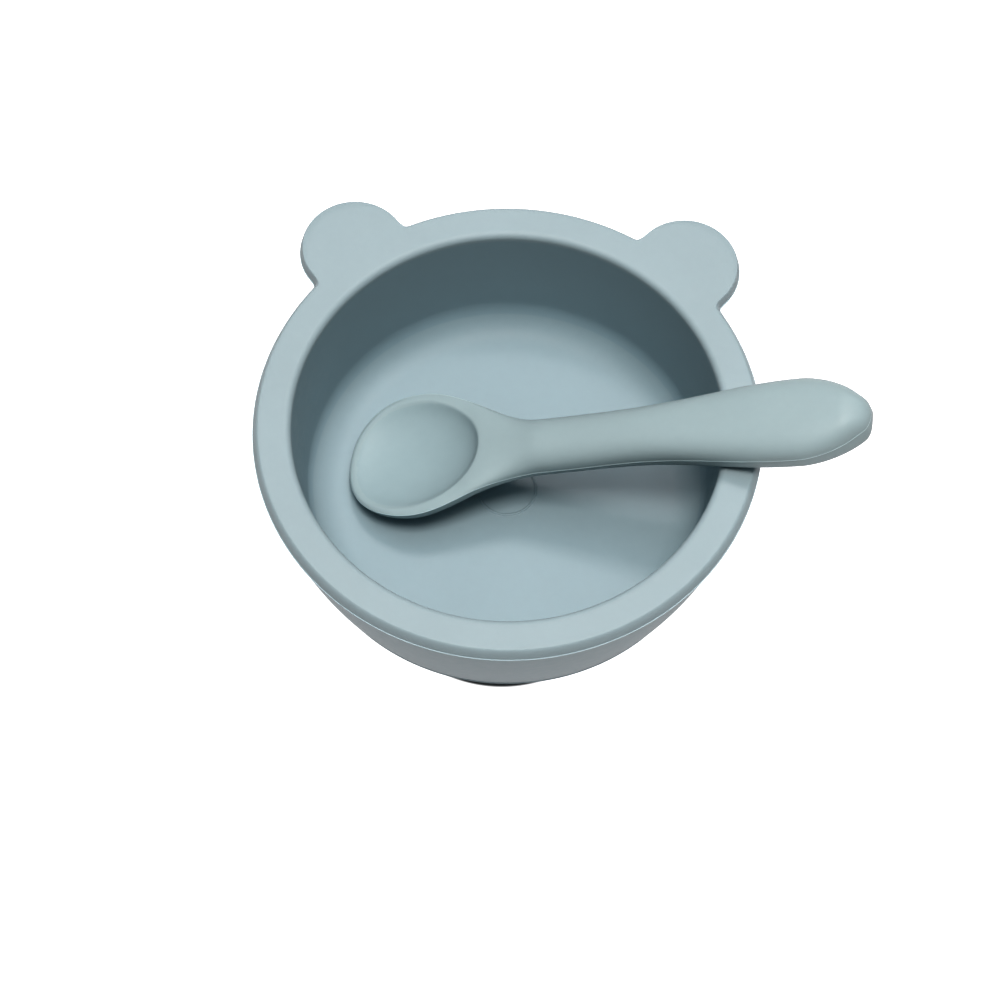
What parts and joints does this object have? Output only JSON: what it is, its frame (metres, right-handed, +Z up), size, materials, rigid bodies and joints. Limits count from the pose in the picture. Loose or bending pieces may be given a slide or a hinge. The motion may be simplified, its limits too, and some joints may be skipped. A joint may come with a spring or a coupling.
{
  "type": "suction bowl",
  "caption": "Round baby bowl with a wide flat rim, ear lobes, a suction cup with release tab under its foot, and a matching spoon resting in it.",
  "frame": {"origin": "on the table plane, on the bowl's axis, with the suction cup relaxed", "axes": "+Z up along the bowl's axis, +Y towards the two ears, +X towards the spoon's handle"},
  "size_m": [0.1528, 0.127, 0.0631],
  "materials": {
    "bowl_silicone": "matte moulded silicone, dusty blue-grey",
    "cup_silicone": "soft matte silicone, slightly darker",
    "spoon_silicone": "matte moulded silicone, dusty blue-grey",
    "core_nylon": "plain moulded nylon, hidden"
  },
  "bodies": {
    "cup_base": {"suction_lip": "cup_silicone", "suction_skirt": "cup_silicone"},
    "bowl": {"bowl_shell": "bowl_silicone", "suction_hub": "cup_silicone"},
    "tab": {"release_tab": "cup_silicone"},
    "spoon": {"spoon_body": "spoon_silicone", "spoon_core": "core_nylon"}
  },
  "joints": [
    {"name": "cup_press", "type": "slide", "parent": "cup_base", "child": "bowl", "axis": [0, 0, -1], "range_m": [0, 0.0012], "stiffness_N_per_m": 1500, "deforming": ["suction_skirt"]},
    {"name": "tab_lift", "type": "hinge", "parent": "cup_base", "child": "tab", "pos_m": [0, 0.0547, 0.00095], "axis": [1, 0, 0], "range_deg": [0, 50]},
    {"name": "spoon_lift", "type": "slide", "parent": "bowl", "child": "spoon", "axis": [0, 0, 1], "range_m": [0, 0.12]}
  ]
}
